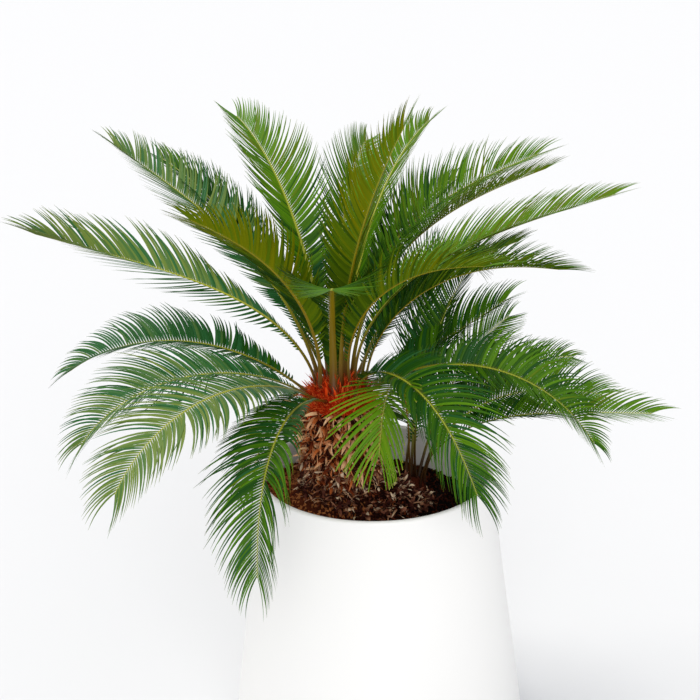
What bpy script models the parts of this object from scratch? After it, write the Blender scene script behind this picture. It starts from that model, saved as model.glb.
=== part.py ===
"""A potted sago palm: the pot, its soil, the leaning stem, a young side stem and every frond.

Metres, +Z up, with the origin at the centre of the pot's flat underside. Seen from the
front, +X is to the right and +Y goes away. Every frond follows one rule: a rib that leaves
its stem at one angle, turns over towards another, and carries leaflets in a shallow V.
"""
import math

import bpy
from mathutils import Vector
from mathutils.bvhtree import BVHTree

OBJECT_NAME = "potted_sago_palm"
GAP = 0.0003  # clearance between pieces that touch

# Pot: a round planter that widens downward to a belly just above the floor
POT_HEIGHT = 0.600
POT_RIM_RADIUS = 0.2355
POT_BELLY_RADIUS = 0.300
POT_BELLY_HEIGHT = 0.050
POT_FOOT_RADIUS = 0.286
POT_NECK_POWER = 1.3  # over 1 keeps the wall steep under the rim
POT_FLARE_POWER = 1.15  # over 1 rounds the wall into the belly
POT_WALL = 0.012
POT_FLOOR = 0.020
POT_EDGE_RADIUS = 0.010  # rounding between the wall and the underside
POT_SIDES = 44
POT_WALL_STEPS = 9
POT_TUCK_STEPS = 4
POT_LIP_STEPS = 6

# Soil: fills the pot to a hand's breadth below the rim
SOIL_TOP = 0.532
SOIL_GAP = 0.0005

# Main stem: short and thick, widest above its middle and leaning to the left
STEM_FOOT = Vector((-0.058, 0.021, SOIL_TOP + GAP))
STEM_TOP = Vector((-0.071, 0.0, 0.745))
STEM_RADIUS = 0.067
STEM_BELLY = 0.015  # how far it swells above its middle
STEM_SCALE_DEPTH = 0.003  # height of the old leaf bases
STEM_SIDES = 22
STEM_RINGS = 9

# Crown core: the dome on the stem that every petiole grows from
CORE_RADIUS = 0.064
CORE_HEIGHT = 0.044
CORE_SIDES = 24
CORE_RINGS = 6

# Side stem: a small shoot low in the soil, right of the main stem
SHOOT_FOOT = Vector((0.079, 0.033, SOIL_TOP + GAP))
SHOOT_RADIUS = 0.025
SHOOT_HEIGHT = 0.034

# Points that the ribs' paths are measured from
CROWN_CENTRE = Vector((-0.073, 0.0, 0.770))
SHOOT_CENTRE = Vector((0.079, 0.033, 0.547))

# Ribs and leaflets
RIB_SAMPLES = 160
PETIOLE_STEPS = 3
PETIOLE_WIDTH = 0.011
RIB_TIP_WIDTH = 0.004
PETIOLE_THICKNESS = 0.0070
RIB_TIP_THICKNESS = 0.0026
LEAFLET_TIP_THICKNESS = 0.0012
LEAFLET_PITCH = 0.034  # one solid leaflet stands for about six real ones
LEAFLET_VEE = (32.0, 32.0)  # degrees that a leaflet rises at the blade's foot and at its tip
LEAFLET_LAST = 0.52  # length of the last leaflets, as a share of the longest
END_LEAFLET = 0.050
LEAFLET_CLEARANCE = 0.0009
LEAFLET_TRIES = (1.0, 0.8, 0.62, 0.45)  # shares of its length that a crowded leaflet may take
SHOOT_SCALE = 0.68  # the side stem's petioles are thinner
STOUT = {"frond_facing_front": 1.4}  # fronds with a broader rib
VEES = {  # fronds that open or close their V along the way
    "frond_left_long": (-12.0, 58.0),
    "frond_left_high": (6.0, 44.0),
    "frond_left_front_high": (22.0, 22.0),
    "frond_left_arched": (24.0, 28.0),
    "frond_left_drooping": (26.0, 26.0),
    "frond_left_front_drooping": (6.0, 14.0),
    "frond_facing_front": (50.0, -24.0),
}

# Each group of fronds: centre, share of the rib that is bare petiole, longest leaflet, length
# of the lowest leaflets against it and the share of the blade where they reach it, and the
# leaflets' angles from the rib at the foot of the blade and at its tip
GROUPS = {
    "heart": (CROWN_CENTRE, 0.25, 0.120, 0.25, 0.35, 56.0, 26.0),
    "middle": (CROWN_CENTRE, 0.23, 0.125, 0.25, 0.35, 56.0, 24.0),
    "outer": (CROWN_CENTRE, 0.15, 0.120, 0.20, 0.42, 66.0, 34.0),
    "facing": (CROWN_CENTRE, 0.10, 0.125, 0.15, 0.36, 72.0, 30.0),
    "shoot": (SHOOT_CENTRE, 0.34, 0.100, 0.35, 0.28, 56.0, 24.0),
    "nodding": (SHOOT_CENTRE, 0.62, 0.115, 0.55, 0.20, 46.0, 30.0),
}

# One row for each frond, angles in degrees and lengths in metres. Bearings turn from 0 at
# the right through 90 at the back. A seat is the bearing and the distance from the centre
# at which the petiole leaves its stem. "rise" and "end" are the rib's slopes at its two
# ends, "early" over 1 bends it near its foot, "late" over 1 near its tip, and "turn" swings
# its bearing along the way. "roll" tips the blade towards its left edge, and "twist" is
# what the roll gains by its tip. "lean" adds to the leaflets' angle from the rib, and
# "leaf" is their length against the group's.
FRONDS = (
    # name, group, seat, ring, bearing, turn, rise, end, early, late, length, roll, twist, lean, leaf
    ("frond_left_long", "middle", 172, 0.038, 168, 6, 81, 15, 3.70, 1.0, 0.663, 3, 14, 4, 1.18),
    ("frond_left_high", "middle", 146, 0.038, 137, 4, 74, 21, 2.57, 1.0, 0.730, 8, -8, 7, 1.06),
    ("frond_left_front_high", "middle", 205, 0.038, 208, 6, 97, 31, 1.60, 1.0, 0.500, -32, 0, 0, 1.06),
    ("frond_left_arched", "outer", 184, 0.056, 169, 5, 41, -37, 0.91, 1.0, 0.519, 10, 2, 3, 0.98),
    ("frond_left_drooping", "outer", 205, 0.056, 204, -2, 39, -57, 0.74, 1.0, 0.506, 8, 4, -4, 1.12),
    ("frond_left_front_drooping", "outer", 226, 0.056, 228, 5, 36, -54, 0.67, 1.0, 0.573, 9, 0, 0, 1.22),
    ("frond_front_hanging", "outer", 246, 0.056, 241, 23, 30, -82, 1.05, 1.0, 0.488, -2, -13, -6, 1.26),
    ("frond_top_left", "heart", 130, 0.020, 115, 4, 78, 13, 0.82, 1.0, 0.657, -2, 5, 6, 1.09),
    ("frond_top_middle", "heart", 90, 0.020, 87, -11, 75, 6, 0.96, 1.0, 0.637, -8, -24, 6, 0.98),
    ("frond_top_right", "heart", 50, 0.020, 70, -9, 78, 12, 1.07, 1.0, 0.674, 22, -18, -5, 1.04),
    ("frond_top_front", "heart", -68, 0.020, -43, 5, 89, 59, 1.12, 1.0, 0.576, 19, -21, -6, 1.12),
    ("frond_facing_front", "facing", 262, 0.038, 272, -2, 104, 17, 8.2, 2.0, 0.586, 0, 0, 0, 1.10),
    ("frond_right_highest", "middle", 65, 0.038, 62, -32, 89, 11, 2.80, 1.0, 0.756, -4, -8, 1, 1.22),
    ("frond_right_high", "middle", 38, 0.038, 55, -31, 88, 12, 2.45, 1.0, 0.688, 2, 28, 9, 0.95),
    ("frond_right_long", "middle", 8, 0.038, 19, -18, 95, 16, 3.13, 1.0, 0.683, 0, -14, -5, 0.94),
    ("frond_right_back", "middle", 28, 0.056, 39, -6, 94, 8, 2.93, 1.0, 0.501, 8, 27, 4, 0.94),
    ("frond_right_front", "middle", -35, 0.038, -25, 3, 104, 6, 1.44, 1.0, 0.453, 0, 20, 7, 1.14),
    ("frond_right_middle", "middle", 0, 0.056, 5, -8, 91, -7, 1.43, 1.0, 0.507, -5, 19, 12, 1.12),
    ("frond_right_drooping", "outer", -16, 0.056, -4, -8, 39, -59, 1.05, 1.0, 0.517, -29, 1, 10, 0.89),
    ("frond_right_front_drooping", "outer", -52, 0.056, -50, 1, 93, -61, 1.49, 0.73, 0.446, -4, -22, -5, 1.28),
    ("frond_right_short", "outer", 14, 0.056, 7, 2, 28, 32, 1.21, 1.0, 0.326, -1, -12, -3, 0.94),
    ("shoot_frond_nodding", "nodding", 240, 0.018, 244, 13, 88, -68, 2.62, 3.3, 0.478, -12, 0, 0, 1.20),
    ("shoot_frond_upright", "shoot", 112, 0.016, 72, 3, 81, 54, 0.80, 1.0, 0.405, -23, -18, -4, 1.26),
    ("shoot_frond_tall", "shoot", 22, 0.004, 36, -16, 94, 52, 1.03, 1.0, 0.500, 6, -23, 6, 1.19),
    ("shoot_frond_arched", "shoot", 68, 0.018, 50, -2, 70, 9, 0.95, 1.0, 0.439, -24, -23, -3, 1.06),
    ("shoot_frond_right", "shoot", -12, 0.018, 14, -5, 85, -14, 1.66, 1.0, 0.475, -36, -18, 12, 1.04),
    ("shoot_frond_right_back", "shoot", 28, 0.018, 32, -8, 78, -9, 1.28, 1.0, 0.468, -40, -13, 1, 0.83),
    ("shoot_frond_right_long", "shoot", -52, 0.018, -11, 0, 87, 2, 3.09, 1.0, 0.539, -3, -22, 2, 1.09),
    ("shoot_frond_back", "shoot", 170, 0.019, 80, -1, 62, -53, 1.79, 1.0, 0.505, -6, -14, 3, 1.09),
    ("frond_back_left_high", "middle", 112, 0.038, 132, 3, 55, 14, 0.82, 1.0, 0.653, -10, 26, -6, 0.96),
    ("frond_back_right_high", "middle", 88, 0.038, 58, -1, 58, 0, 0.79, 1.0, 0.606, 1, -2, 3, 1.07),
    ("frond_back_left", "outer", 136, 0.056, 130, 2, -24, -80, 1.10, 1.0, 0.420, 0, 0, 4, 0.95),
    ("frond_back_middle_left", "outer", 108, 0.056, 106, 4, -34, -65, 1.36, 1.0, 0.552, 2, -5, 3, 1.15),
    ("frond_back_middle_right", "outer", 78, 0.056, 76, -3, -8, -71, 1.21, 1.0, 0.539, 0, -9, -4, 1.08),
    ("frond_back_right", "outer", 52, 0.056, 59, -2, 44, -54, 0.51, 1.0, 0.568, -6, -22, 3, 1.10),
)
FROND_FIELDS = ("name", "group", "seat", "ring", "bearing", "turn", "rise", "end",
                "early", "late", "length", "roll", "twist", "lean", "leaf")

# Materials: colour, roughness, metallic
FINISHES = {
    "pot": ((0.93, 0.93, 0.92), 0.35, 0.0),
    "soil": ((0.035, 0.018, 0.010), 0.95, 0.0),
    "stem": ((0.200, 0.075, 0.028), 0.90, 0.0),
    "crown_core": ((0.350, 0.045, 0.010), 0.90, 0.0),
    "shoot_stem": ((0.120, 0.060, 0.025), 0.90, 0.0),
    "heart": ((0.130, 0.190, 0.020), 0.45, 0.0),
    "middle": ((0.060, 0.140, 0.025), 0.45, 0.0),
    "outer": ((0.025, 0.110, 0.045), 0.45, 0.0),
    "facing": ((0.060, 0.140, 0.025), 0.45, 0.0),
    "shoot": ((0.030, 0.120, 0.030), 0.45, 0.0),
    "nodding": ((0.110, 0.280, 0.020), 0.45, 0.0),
}


def clear_scene():
    for item in list(bpy.data.objects):
        bpy.data.objects.remove(item, do_unlink=True)


def make_collection():
    collection = bpy.data.collections.new(OBJECT_NAME)
    bpy.context.scene.collection.children.link(collection)
    return collection


def make_material(name, finish):
    colour, roughness, metallic = FINISHES[finish]
    material = bpy.data.materials.new(name)
    material.use_nodes = True
    shader = material.node_tree.nodes["Principled BSDF"]
    shader.inputs["Base Color"].default_value = (*colour, 1.0)
    shader.inputs["Roughness"].default_value = roughness
    shader.inputs["Metallic"].default_value = metallic
    return material


def add_object(name, mesh, collection, finish):
    item = bpy.data.objects.new(name, mesh)
    collection.objects.link(item)
    mesh.materials.append(make_material(name, finish))
    return item


def turned(name, profile, sides, collection, finish):
    """A solid turned about Z from (radius, height) points that run top to bottom outside."""
    mesh = bpy.data.meshes.new(name)
    points = [(radius, 0.0, height) for radius, height in profile]
    edges = [(i, i + 1) for i in range(len(points) - 1)]
    mesh.from_pydata(points, edges, [])
    item = add_object(name, mesh, collection, finish)
    screw = item.modifiers.new("Turn", "SCREW")
    screw.steps = sides
    screw.render_steps = sides
    screw.use_merge_vertices = True
    screw.merge_threshold = 0.00005
    screw.use_smooth_shade = True
    return item


def pot_radius(height):
    """The pot's outer radius at a height above the floor."""
    if height >= POT_BELLY_HEIGHT:
        down = (POT_HEIGHT - height) / (POT_HEIGHT - POT_BELLY_HEIGHT)
        share = 1.0 - (1.0 - down ** POT_NECK_POWER) ** POT_FLARE_POWER
        return POT_RIM_RADIUS + (POT_BELLY_RADIUS - POT_RIM_RADIUS) * share
    below = 1.0 - height / POT_BELLY_HEIGHT
    return POT_BELLY_RADIUS - (POT_BELLY_RADIUS - POT_FOOT_RADIUS) * below * below


def wall_heights(top, bottom):
    """Heights from top to bottom at which the pot's wall has a ring."""
    steps = POT_WALL_STEPS
    upper = [top + (POT_BELLY_HEIGHT - top) * i / steps for i in range(steps + 1)]
    steps = POT_TUCK_STEPS
    lower = [POT_BELLY_HEIGHT + (bottom - POT_BELLY_HEIGHT) * i / steps for i in range(1, steps + 1)]
    return upper + lower


def build_pot(collection):
    lip = POT_WALL / 2.0
    lip_height = POT_HEIGHT - lip
    inner = [(pot_radius(z) - POT_WALL, z) for z in wall_heights(lip_height, POT_FLOOR)]
    profile = [(0.0, POT_FLOOR)] + inner[::-1]
    for i in range(1, POT_LIP_STEPS):
        angle = math.pi * (1.0 - i / POT_LIP_STEPS)
        centre = pot_radius(lip_height) - lip
        profile.append((centre + lip * math.cos(angle), lip_height + lip * math.sin(angle)))
    profile += [(pot_radius(z), z) for z in wall_heights(lip_height, POT_EDGE_RADIUS)]
    foot = pot_radius(POT_EDGE_RADIUS) - POT_EDGE_RADIUS
    profile.append((foot + POT_EDGE_RADIUS * math.cos(math.pi / 4.0),
                    POT_EDGE_RADIUS * (1.0 - math.sin(math.pi / 4.0))))
    profile += [(foot, 0.0), (0.0, 0.0)]
    return turned("pot", profile, POT_SIDES, collection, "pot")


def build_soil(collection):
    side = POT_WALL + SOIL_GAP
    heights = [z for z in wall_heights(POT_HEIGHT - POT_WALL / 2.0, POT_FLOOR) if z < SOIL_TOP]
    profile = [(0.0, SOIL_TOP), (pot_radius(SOIL_TOP) - side, SOIL_TOP)]
    profile += [(pot_radius(z) - side, z) for z in heights[:-1]]
    floor = POT_FLOOR + SOIL_GAP
    profile += [(pot_radius(floor) - side, floor), (0.0, floor)]
    return turned("soil", profile, POT_SIDES, collection, "soil")


def loft(name, rings, collection, finish):
    """A closed solid through rings of points, with a flat face on each end ring."""
    sides = len(rings[0])
    points = [point for ring in rings for point in ring]
    faces = [tuple(range(sides))[::-1]]
    for k in range(len(rings) - 1):
        for i in range(sides):
            a = k * sides + i
            b = k * sides + (i + 1) % sides
            faces.append((a, b, b + sides, a + sides))
    faces.append(tuple(range((len(rings) - 1) * sides, len(rings) * sides)))
    mesh = bpy.data.meshes.new(name)
    mesh.from_pydata(points, [], faces)
    return add_object(name, mesh, collection, finish)


def build_stem(collection):
    """The scaly stem: each ring's points stand in and out by turns, like old leaf bases."""
    rings = []
    for k in range(STEM_RINGS):
        up = k / (STEM_RINGS - 1)
        centre = STEM_FOOT.lerp(STEM_TOP, up)
        radius = STEM_RADIUS + STEM_BELLY * math.sin(math.pi * up ** 1.3)
        ring = []
        for i in range(STEM_SIDES):
            angle = 2.0 * math.pi * i / STEM_SIDES
            reach = radius + (STEM_SCALE_DEPTH if (i + k) % 2 else -STEM_SCALE_DEPTH)
            ring.append(centre + Vector((reach * math.cos(angle), reach * math.sin(angle), 0.0)))
        rings.append(ring)
    return loft("stem", rings, collection, "stem")


def dome(name, foot, radius, height, collection, finish):
    """A low rounded cone on a flat foot, with a small flat top."""
    rings = []
    for k in range(CORE_RINGS):
        tilt = 0.46 * math.pi * k / (CORE_RINGS - 1)
        reach = radius * math.cos(tilt)
        level = height * math.sin(tilt)
        rings.append([foot + Vector((reach * math.cos(2.0 * math.pi * i / CORE_SIDES),
                                     reach * math.sin(2.0 * math.pi * i / CORE_SIDES), level))
                      for i in range(CORE_SIDES)])
    return loft(name, rings, collection, finish)


def faces_of(items):
    """The points and faces of some finished objects, in world space."""
    points = []
    faces = []
    graph = bpy.context.evaluated_depsgraph_get()
    for item in items:
        mesh = item.evaluated_get(graph).data
        start = len(points)
        points += [item.matrix_world @ vertex.co for vertex in mesh.vertices]
        faces += [[start + i for i in face.vertices] for face in mesh.polygons]
    return points, faces


class Rib:
    """A frond's rib: its path, its frame at each point, and its width and thickness."""

    def __init__(self, row):
        self.row = dict(zip(FROND_FIELDS, row))
        (self.centre, self.bare, self.leaflet, self.first, self.full,
         self.low, self.high) = GROUPS[self.row["group"]]
        self.leaflet *= self.row["leaf"]
        self.scale = 1.0 if self.centre is CROWN_CENTRE else SHOOT_SCALE
        self.stout = STOUT.get(self.row["name"], 1.0)
        self.vees = VEES.get(self.row["name"], LEAFLET_VEE)
        seat = math.radians(self.row["seat"])
        ring = self.row["ring"]
        self.start = self.centre + Vector((ring * math.cos(seat), ring * math.sin(seat), 0.0))
        self.length = self.row["length"]
        self.trace()

    def trace(self):
        self.points = [self.start.copy()]
        step = self.length / RIB_SAMPLES
        for i in range(RIB_SAMPLES):
            self.points.append(self.points[-1] + self.frame((i + 0.5) / RIB_SAMPLES)[0] * step)

    def frame(self, s):
        """The rib's forward, left and upward directions at the share s of its length."""
        row = self.row
        share = max(0.0, 1.0 - s ** row["late"]) ** row["early"]
        slope = math.radians(row["end"] + (row["rise"] - row["end"]) * share)
        bearing = math.radians(row["bearing"] + row["turn"] * s)
        ahead = Vector((math.cos(slope) * math.cos(bearing),
                        math.cos(slope) * math.sin(bearing), math.sin(slope)))
        over = Vector((-math.sin(slope) * math.cos(bearing),
                       -math.sin(slope) * math.sin(bearing), math.cos(slope)))
        left = over.cross(ahead)
        roll = math.radians(row["roll"] + row["twist"] * s)
        return (ahead, left * math.cos(roll) - over * math.sin(roll),
                over * math.cos(roll) + left * math.sin(roll))

    def at(self, s):
        place = s * RIB_SAMPLES
        low = min(int(place), RIB_SAMPLES - 1)
        return self.points[low].lerp(self.points[low + 1], place - low)

    def half_width(self, s):
        width = PETIOLE_WIDTH + (RIB_TIP_WIDTH - PETIOLE_WIDTH) * s
        return 0.5 * self.scale * self.stout * width

    def thickness(self, s):
        return self.scale * (PETIOLE_THICKNESS + (RIB_TIP_THICKNESS - PETIOLE_THICKNESS) * s)

    def seat_on(self, tree):
        """Moves the start along its own direction until it stands just off the stem."""
        ahead, left, over = self.frame(0.0)
        half = self.half_width(0.0)
        thick = 0.5 * self.thickness(0.0)
        corners = [left * (half * a) + over * (thick * b) for a in (-1, 0, 1) for b in (-1, 0, 1)]

        def clearance(shift):
            spot = self.start + ahead * shift
            room = []
            for corner in corners:
                near, normal, _, distance = tree.find_nearest(spot + corner)
                outside = (spot + corner - near).dot(normal) > 0.0
                room.append(distance if outside else -distance)
            return min(room)

        low, high = -0.05, 0.05
        for _ in range(40):
            middle = 0.5 * (low + high)
            if clearance(middle) < 1.3 * GAP:
                low = middle
            else:
                high = middle
        self.start = self.start + ahead * high
        self.length -= high
        self.trace()

    def stations(self):
        """Shares of the length at which the rib has a pair of points."""
        blade = self.length * (1.0 - self.bare)
        count = max(5, round(blade / (LEAFLET_PITCH * (0.6 + 0.4 * self.scale))))
        low = [self.bare * i / PETIOLE_STEPS for i in range(PETIOLE_STEPS)]
        return low + [self.bare + (1.0 - self.bare) * i / count for i in range(count + 1)]

    def tube(self):
        """Faces of a square tube round the rib, a little larger than the rib itself."""
        stations = self.stations()
        points = []
        for s in stations:
            _, left, over = self.frame(s)
            wide = left * (self.half_width(s) + LEAFLET_CLEARANCE)
            deep = over * (0.5 * self.thickness(s) + LEAFLET_CLEARANCE)
            points += [self.at(s) + wide + deep, self.at(s) - wide + deep,
                       self.at(s) - wide - deep, self.at(s) + wide - deep]
        faces = []
        for k in range(len(stations) - 1):
            for i in range(4):
                a = 4 * k + i
                b = 4 * k + (i + 1) % 4
                faces.append([a, b, b + 4, a + 4])
        return points, faces


def leaflet_share(rib, along):
    """A leaflet's length at a share of the blade, against the longest."""
    low = rib.first + (1.0 - rib.first) * min(1.0, along / rib.full)
    high = LEAFLET_LAST + (1.0 - LEAFLET_LAST) * min(1.0, (1.0 - along) / 0.46)
    return low * high


def leaflet_direction(rib, s, along, side):
    ahead, left, over = rib.frame(s)
    lean = math.radians(rib.low + (rib.high - rib.low) * along + rib.row["lean"])
    vee = math.radians(rib.vees[0] + (rib.vees[1] - rib.vees[0]) * along)
    out = left * (side * math.cos(vee)) + over * math.sin(vee)
    return ahead * math.cos(lean) + out * math.sin(lean)


def leaflet_is_clear(obstacles, a, b, tip, root_thickness):
    """Whether a leaflet's wedge, with its clearance, misses everything around it."""
    normal = (b - a).cross(tip - a).normalized()
    root = normal * (0.5 * root_thickness + LEAFLET_CLEARANCE)
    end = normal * (0.5 * LEAFLET_TIP_THICKNESS + LEAFLET_CLEARANCE)
    reach = (tip - 0.5 * (a + b)).normalized() * LEAFLET_CLEARANCE
    points = [a + root, b + root, tip + reach + end, a - root, b - root, tip + reach - end]
    faces = [[0, 1, 2], [3, 5, 4], [0, 3, 4, 1], [1, 4, 5, 2], [2, 5, 3, 0]]
    return not obstacles.overlap(BVHTree.FromPolygons(points, faces))


def add_leaflet(points, faces, weights, rib, obstacles, a, b, root, direction, length, thick):
    for share in LEAFLET_TRIES:
        tip = root + direction * (length * share)
        if leaflet_is_clear(obstacles, points[a], points[b], tip, thick):
            points.append(tip)
            weights.append(LEAFLET_TIP_THICKNESS / rib.thickness(0.0))
            faces.append((a, b, len(points) - 1))
            return


def build_frond(rib, obstacles, collection):
    """A rib of flat links with a pointed leaflet on each side of each link, made solid."""
    name = rib.row["name"]
    stations = rib.stations()
    points = []
    faces = []
    weights = []
    for s in stations:
        _, left, _ = rib.frame(s)
        wide = left * rib.half_width(s)
        points += [rib.at(s) + wide, rib.at(s) - wide]
        weights += [rib.thickness(s) / rib.thickness(0.0)] * 2
    for k in range(len(stations) - 1):
        faces.append((2 * k, 2 * k + 1, 2 * k + 3, 2 * k + 2))
    first = stations.index(rib.bare)
    for k in range(first, len(stations) - 1):
        s = 0.5 * (stations[k] + stations[k + 1])
        along = (s - rib.bare) / (1.0 - rib.bare)
        length = rib.leaflet * leaflet_share(rib, along)
        thick = rib.thickness(s)
        for side in (1, -1):
            a, b = (2 * k, 2 * k + 2) if side > 0 else (2 * k + 3, 2 * k + 1)
            root = 0.5 * (points[a] + points[b])
            direction = leaflet_direction(rib, s, along, side)
            add_leaflet(points, faces, weights, rib, obstacles, a, b, root, direction, length, thick)
    last = 2 * len(stations) - 2
    add_leaflet(points, faces, weights, rib, obstacles, last, last + 1,
                rib.at(1.0), rib.frame(1.0)[0], END_LEAFLET, rib.thickness(1.0))
    mesh = bpy.data.meshes.new(name)
    mesh.from_pydata(points, [], faces)
    item = add_object(name, mesh, collection, rib.row["group"])
    group = item.vertex_groups.new(name="thickness")
    for i, weight in enumerate(weights):
        group.add([i], weight, "REPLACE")
    solid = item.modifiers.new("Thickness", "SOLIDIFY")
    solid.thickness = rib.thickness(0.0)
    solid.offset = 0.0
    solid.vertex_group = "thickness"
    solid.use_even_offset = False
    return item


def build_fronds(collection, stems, fixed):
    """All the fronds, each keeping clear of the stems, the pot and the fronds before it."""
    ribs = [Rib(row) for row in FRONDS]
    for rib in ribs:
        stem = stems["crown"] if rib.centre is CROWN_CENTRE else stems["shoot"]
        rib.seat_on(BVHTree.FromPolygons(*faces_of([stem])))
    built_points, built_faces = faces_of(fixed)
    for rib in ribs:
        points = list(built_points)
        faces = list(built_faces)
        for other in ribs:
            if other is rib:
                continue
            tube_points, tube_faces = other.tube()
            start = len(points)
            points += tube_points
            faces += [[start + i for i in face] for face in tube_faces]
        item = build_frond(rib, BVHTree.FromPolygons(points, faces), collection)
        bpy.context.view_layer.update()
        new_points, new_faces = faces_of([item])
        start = len(built_points)
        built_points += new_points
        built_faces += [[start + i for i in face] for face in new_faces]


def main():
    clear_scene()
    collection = make_collection()
    pot = build_pot(collection)
    soil = build_soil(collection)
    stem = build_stem(collection)
    core_foot = STEM_TOP + Vector((0.0, 0.0, GAP))
    core = dome("crown_core", core_foot, CORE_RADIUS, CORE_HEIGHT, collection, "crown_core")
    shoot = dome("shoot_stem", SHOOT_FOOT, SHOOT_RADIUS, SHOOT_HEIGHT, collection, "shoot_stem")
    bpy.context.view_layer.update()
    stems = {"crown": core, "shoot": shoot}
    build_fronds(collection, stems, [pot, soil, stem, core, shoot])


main()
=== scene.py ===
import math
import random

import bmesh
import bpy
from mathutils import Matrix, Vector, noise


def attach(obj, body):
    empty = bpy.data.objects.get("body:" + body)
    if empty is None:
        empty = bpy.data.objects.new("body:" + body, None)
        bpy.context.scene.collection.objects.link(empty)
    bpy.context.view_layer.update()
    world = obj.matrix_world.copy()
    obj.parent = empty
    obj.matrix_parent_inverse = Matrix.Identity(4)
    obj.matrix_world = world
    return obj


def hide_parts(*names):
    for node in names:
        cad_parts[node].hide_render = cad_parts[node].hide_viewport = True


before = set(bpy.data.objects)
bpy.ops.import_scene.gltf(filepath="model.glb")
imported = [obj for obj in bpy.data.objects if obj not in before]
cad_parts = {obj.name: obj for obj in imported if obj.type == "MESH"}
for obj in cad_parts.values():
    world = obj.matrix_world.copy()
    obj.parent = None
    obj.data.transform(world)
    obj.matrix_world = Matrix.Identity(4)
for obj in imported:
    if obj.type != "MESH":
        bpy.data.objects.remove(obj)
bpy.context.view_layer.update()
print("frame loaded,", len(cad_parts), "nodes")

up = Vector((0.0, 0.0, 1.0))


# Helpers

def toLinear(hexColour):
    parts = [int(hexColour[i:i + 2], 16) / 255 for i in (1, 3, 5)]
    return tuple(p / 12.92 if p <= 0.04045 else ((p + 0.055) / 1.055) ** 2.4 for p in parts) + (1.0,)


def addNode(tree, kind, sockets=None, stops=None, **settings):
    # sockets maps an input to its value or to the output that feeds it, stops fill a colour ramp
    node = tree.nodes.new(kind)
    for name, value in settings.items():
        setattr(node, name, value)
    for name, value in (sockets or {}).items():
        if isinstance(value, bpy.types.NodeSocket):
            tree.links.new(value, node.inputs[name])
        else:
            node.inputs[name].default_value = value
    for i, (place, hexColour) in enumerate(stops or ()):
        elements = node.color_ramp.elements
        element = elements[i] if i < len(elements) else elements.new(place)
        element.position = place
        element.color = toLinear(hexColour)
    return node


def startMaterial(name):
    material = bpy.data.materials.new(name)
    material.use_nodes = True
    tree = material.node_tree
    tree.nodes.clear()
    shader = addNode(tree, "ShaderNodeBsdfPrincipled")
    addNode(tree, "ShaderNodeOutputMaterial", {"Surface": shader.outputs["BSDF"]})
    return material, tree, shader


def addObject(name, data):
    item = bpy.data.objects.new(name, data)
    bpy.context.scene.collection.objects.link(item)
    return item


def toPlainMesh(item, name):
    # the evaluated object as a plain mesh, with nothing live left on it
    bpy.context.view_layer.update()
    graph = bpy.context.evaluated_depsgraph_get()
    mesh = bpy.data.meshes.new_from_object(item.evaluated_get(graph))
    mesh.name = name
    bpy.data.objects.remove(item, do_unlink=True)
    return addObject(name, mesh)


def finishPiece(item, nodes=(), sharpAngle=40.0):
    item.data.shade_smooth()
    item.data.set_sharp_from_angle(angle=math.radians(sharpAngle))
    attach(item, "root")
    if nodes:
        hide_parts(*nodes)
    print(item.name, "faces:", len(item.data.polygons))


def between(low, high, share):
    return low + (high - low) * share


def offBy(chance, reach):
    return chance.uniform(-reach, reach)


def pick(chance, value):
    # a random value where a range is given, and the value itself where there is only one
    return chance.uniform(*value) if isinstance(value, tuple) else value


def ringOut(angle):
    return Vector((math.cos(angle), math.sin(angle), 0.0))


def lumps(spot, frequency, octaves):
    # soft noise from about -1 to 1, in lumps of one metre over the frequency
    return noise.fractal(spot * frequency, 1.0, 2.0, octaves)


def ringFaces(rings, sides, first=0, lyingFlat=False):
    # faces between rings of points, each ring above the last one, or outside it where they lie flat
    faces = []
    for k in range(rings - 1):
        for i in range(sides):
            a = first + k * sides + i
            b = first + k * sides + (i + 1) % sides
            faces.append((a, a + sides, b + sides, b) if lyingFlat else (a, b, b + sides, a + sides))
    return faces


def tintedSurface(name, points, faces, tint, material):
    mesh = bpy.data.meshes.new(name)
    mesh.from_pydata(points, [], faces)
    mesh.attributes.new("tint", "FLOAT", "POINT").data.foreach_set("value", [tint] * len(points))
    mesh.materials.append(material)
    return addObject(name, mesh)


# Strands: leaflets, ribs, scales and hairs are all a flat or round section swept along a path

def profileCurve(name, outline):
    # (height, width) points, anticlockwise, in half widths of the strand
    curve = bpy.data.curves.new(name, "CURVE")
    curve.dimensions = "3D"
    spline = curve.splines.new("POLY")
    spline.points.add(len(outline) - 1)
    for point, (height, width) in zip(spline.points, outline):
        point.co = (height, width, 0.0, 1.0)
    spline.use_cyclic_u = True
    return addObject(name, curve)


def startTree(name, inputs):
    tree = bpy.data.node_groups.new(name, "GeometryNodeTree")
    for label, kind in (("Geometry", "NodeSocketGeometry"), *inputs):
        tree.interface.new_socket(label, in_out="INPUT", socket_type=kind)
    tree.interface.new_socket("Geometry", in_out="OUTPUT", socket_type="NodeSocketGeometry")
    return tree, addNode(tree, "NodeGroupInput")


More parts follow.
